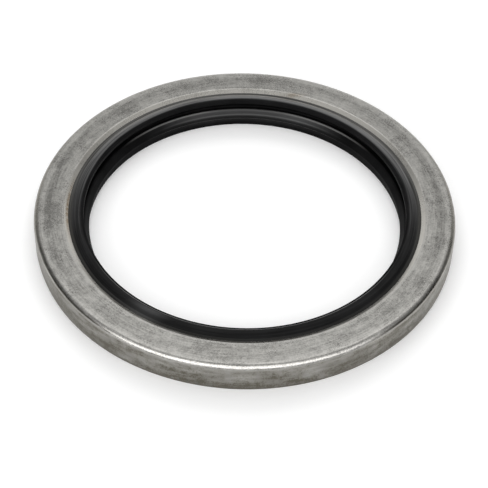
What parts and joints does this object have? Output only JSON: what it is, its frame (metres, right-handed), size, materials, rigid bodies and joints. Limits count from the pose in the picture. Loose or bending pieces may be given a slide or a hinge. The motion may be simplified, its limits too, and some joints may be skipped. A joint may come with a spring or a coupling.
{
  "type": "lip seal",
  "caption": "Ring-shaped shaft seal: flat-faced drawn steel case with a bonded black rubber lip in its bore and a garter spring behind the lip.",
  "frame": {"origin": "centre of the plane of the case's open end, on the shaft axis", "axes": "+Z along the shaft axis, from the open end towards the flat face; X and Y are free, as every piece is turned about Z"},
  "size_m": [0.1, 0.1, 0.0075],
  "materials": {
    "case_steel": "satin, bare drawn sheet, lightly stained",
    "black_rubber": "smooth moulded, slightly shiny",
    "spring_wire": "bright drawn wire"
  },
  "bodies": {
    "root": {"steel_case": "case_steel", "sealing_element": "black_rubber", "garter_spring": "spring_wire"}
  },
  "joints": []
}
